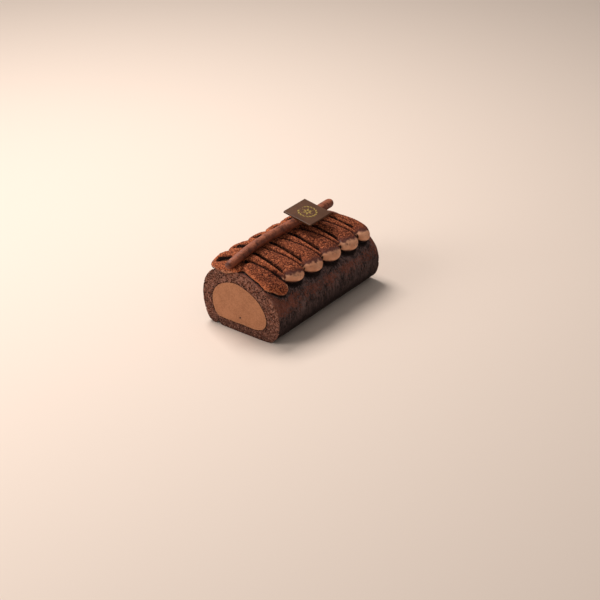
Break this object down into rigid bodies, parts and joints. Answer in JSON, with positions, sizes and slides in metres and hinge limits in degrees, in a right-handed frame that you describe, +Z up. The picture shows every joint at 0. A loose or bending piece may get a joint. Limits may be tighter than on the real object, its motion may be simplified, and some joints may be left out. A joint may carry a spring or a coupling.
{
  "type": "chocolate roll cake",
  "caption": "Short chocolate sponge roll round a soft core, with a cut end, a piped zigzag of cocoa-dusted cream on top, a chocolate stick along it and a thin square plaque.",
  "frame": {"origin": "middle of the roll's flat underside", "axes": "+Z is up; +Y runs along the roll, away from the cut end that the stick reaches past; +X is to the right as seen from that end"},
  "size_m": [0.0837, 0.1563, 0.0785],
  "materials": {
    "sponge": "matte",
    "filling": "matte",
    "piped_cream": "matte",
    "chocolate_stick": "matte",
    "chocolate_plaque": "satin"
  },
  "bodies": {
    "root": {"sponge": "sponge", "filling": "filling", "piped_cream": "piped_cream", "chocolate_stick": "chocolate_stick", "chocolate_plaque": "chocolate_plaque"}
  },
  "joints": []
}
